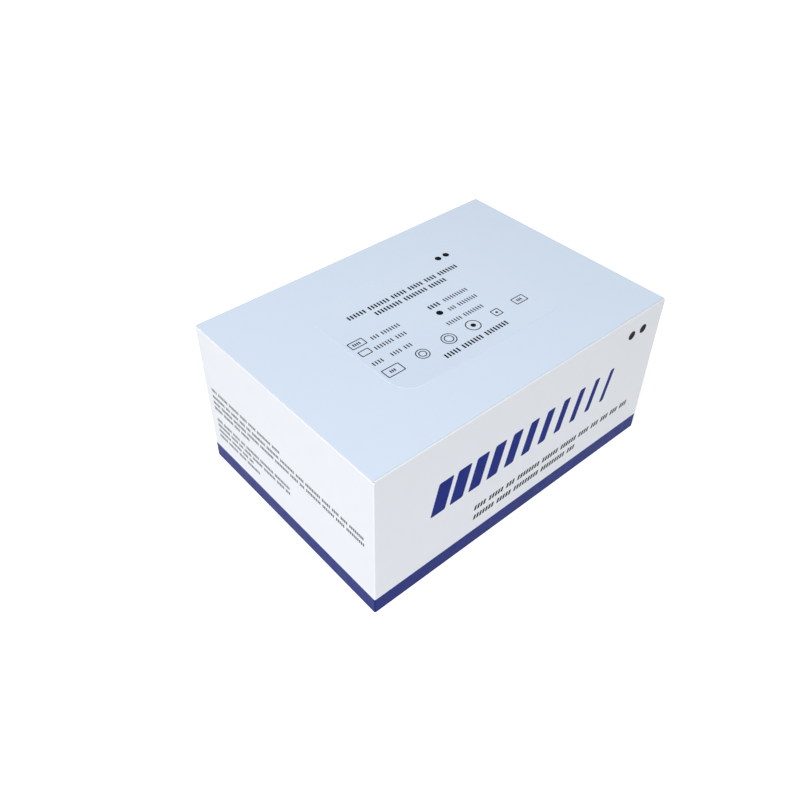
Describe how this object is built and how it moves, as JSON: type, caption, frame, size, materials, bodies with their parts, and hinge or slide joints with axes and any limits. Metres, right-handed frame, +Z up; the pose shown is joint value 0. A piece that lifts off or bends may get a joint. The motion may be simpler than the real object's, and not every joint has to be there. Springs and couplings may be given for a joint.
{
  "type": "rapid test kit carton",
  "caption": "Closed folding carton of coated board with a tuck-in lid, a round-cornered label and a printed foot band, holding sealed test pouches, a dropper bottle and a folded leaflet.",
  "frame": {"origin": "middle of the carton's base, on the surface it stands on", "axes": "+Z up, +X along the carton's long side, -Y towards the front panel that the lid tucks in behind"},
  "size_m": [0.18, 0.126, 0.0834],
  "materials": {
    "carton_board": "coated white board, satin outside and plain inside",
    "lid_board": "coated pale blue board, satin",
    "label_paper": "smooth self-adhesive paper",
    "pouch_foil": "satin foil laminated with plastic film",
    "bottle_plastic": "translucent squeeze-bottle plastic",
    "cap_plastic": "moulded ribbed plastic",
    "leaflet_paper": "thin uncoated paper"
  },
  "bodies": {
    "carton": {"carton_body": "carton_board", "pouch_01": "pouch_foil", "pouch_02": "pouch_foil", "pouch_03": "pouch_foil", "pouch_04": "pouch_foil", "pouch_05": "pouch_foil", "pouch_06": "pouch_foil", "pouch_07": "pouch_foil", "pouch_08": "pouch_foil", "pouch_09": "pouch_foil", "pouch_10": "pouch_foil", "pouch_11": "pouch_foil", "pouch_12": "pouch_foil", "pouch_13": "pouch_foil", "pouch_14": "pouch_foil", "pouch_15": "pouch_foil", "pouch_16": "pouch_foil", "pouch_17": "pouch_foil", "pouch_18": "pouch_foil", "pouch_19": "pouch_foil", "pouch_20": "pouch_foil", "buffer_bottle": "bottle_plastic", "bottle_cap": "cap_plastic", "instruction_leaflet": "leaflet_paper"},
    "lid": {"lid": "lid_board", "top_label": "label_paper"}
  },
  "joints": [
    {"name": "lid_hinge", "type": "hinge", "parent": "carton", "child": "lid", "pos_m": [0, 0.063, 0.0833], "axis": [-1, 0, 0], "range_deg": [0, 180]}
  ]
}
